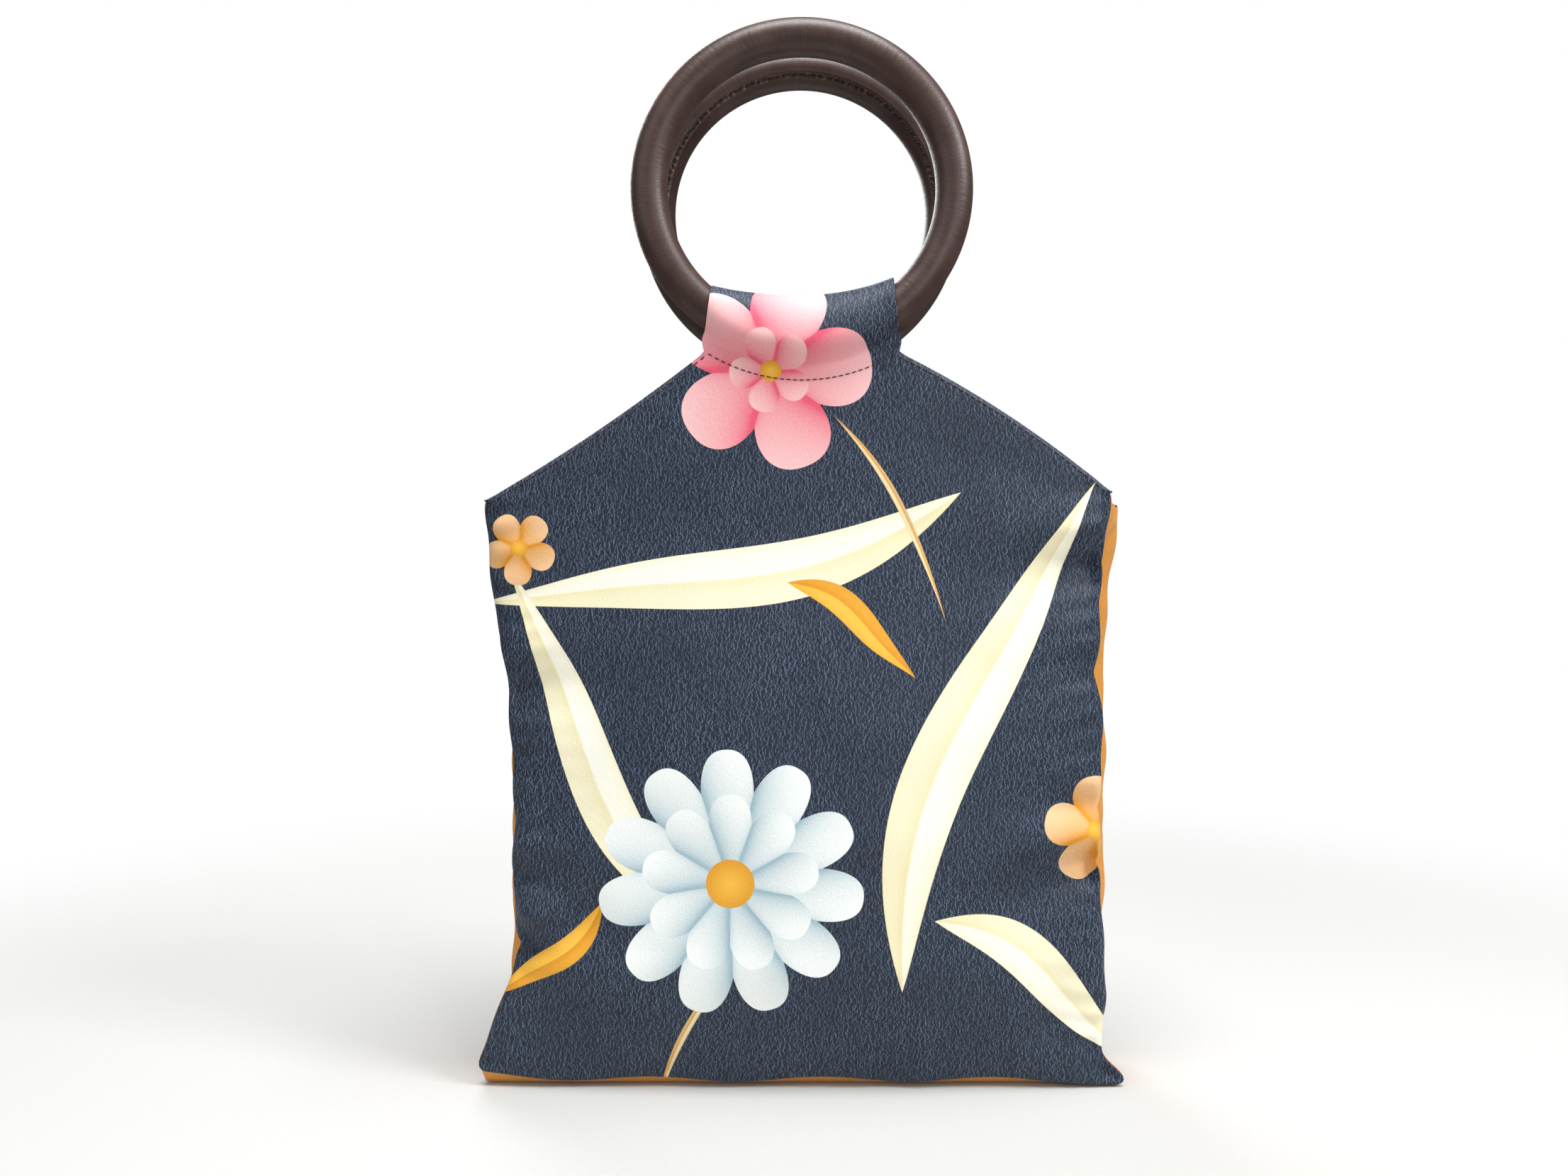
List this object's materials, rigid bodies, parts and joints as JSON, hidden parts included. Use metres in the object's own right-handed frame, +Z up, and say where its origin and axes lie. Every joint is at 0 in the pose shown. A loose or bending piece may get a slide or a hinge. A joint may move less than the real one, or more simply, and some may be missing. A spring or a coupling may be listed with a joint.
{
  "type": "silk handbag",
  "caption": "Flat silk handbag with a narrow gusset, an open peaked mouth and two leather ring handles held in cloth loops.",
  "frame": {"origin": "on the floor under the middle of the bag, at the bottom centre of its bounding box", "axes": "+Z up, +X to the right seen from the front, +Y from the front panel to the back panel"},
  "size_m": [0.2974, 0.064, 0.4879],
  "materials": {
    "printed_silk": "navy printed silk twill with a cream and white pattern, soft sheen",
    "interlining": "white woven interlining, matt",
    "lining": "plain ochre lining cloth, matt",
    "gusset_cloth": "plain orange silk, soft sheen",
    "handle_leather": "dark brown smooth leather, soft gloss",
    "ring_core": "turned wooden hoop under the leather"
  },
  "bodies": {
    "bag": {"front_panel": "printed_silk", "front_interlining": "interlining", "front_lining": "lining", "back_panel": "printed_silk", "back_interlining": "interlining", "back_lining": "lining", "gusset": "gusset_cloth", "gusset_lining": "lining", "inner_pocket": "lining"},
    "front_mouth": {"front_yoke": "printed_silk", "front_yoke_interlining": "interlining", "front_yoke_lining": "lining"},
    "back_mouth": {"back_yoke": "printed_silk", "back_yoke_interlining": "interlining", "back_yoke_lining": "lining"},
    "front_handle": {"front_loop": "printed_silk"},
    "back_handle": {"back_loop": "printed_silk"},
    "front_ring": {"front_ring_leather": "handle_leather", "front_ring_core": "ring_core"},
    "back_ring": {"back_ring_leather": "handle_leather", "back_ring_core": "ring_core"}
  },
  "joints": [
    {"name": "front_mouth_fold", "type": "hinge", "parent": "bag", "child": "front_mouth", "pos_m": [0, -0.024, 0.264], "axis": [1, 0, 0], "range_deg": [0, 35]},
    {"name": "back_mouth_fold", "type": "hinge", "parent": "bag", "child": "back_mouth", "pos_m": [0, 0.024, 0.264], "axis": [-1, 0, 0], "range_deg": [0, 35]},
    {"name": "front_handle_swing", "type": "hinge", "parent": "front_mouth", "child": "front_handle", "pos_m": [0, -0.024, 0.32], "axis": [1, 0, 0], "range_deg": [-3, 150]},
    {"name": "back_handle_swing", "type": "hinge", "parent": "back_mouth", "child": "back_handle", "pos_m": [0, 0.024, 0.32], "axis": [-1, 0, 0], "range_deg": [-3, 150]},
    {"name": "front_ring_turn", "type": "hinge", "parent": "front_handle", "child": "front_ring", "pos_m": [0, -0.0201, 0.40997], "axis": [0, 0.9997, -0.0262], "continuous": true},
    {"name": "back_ring_turn", "type": "hinge", "parent": "back_handle", "child": "back_ring", "pos_m": [0, 0.0201, 0.40997], "axis": [0, 0.9997, 0.0262], "continuous": true}
  ]
}
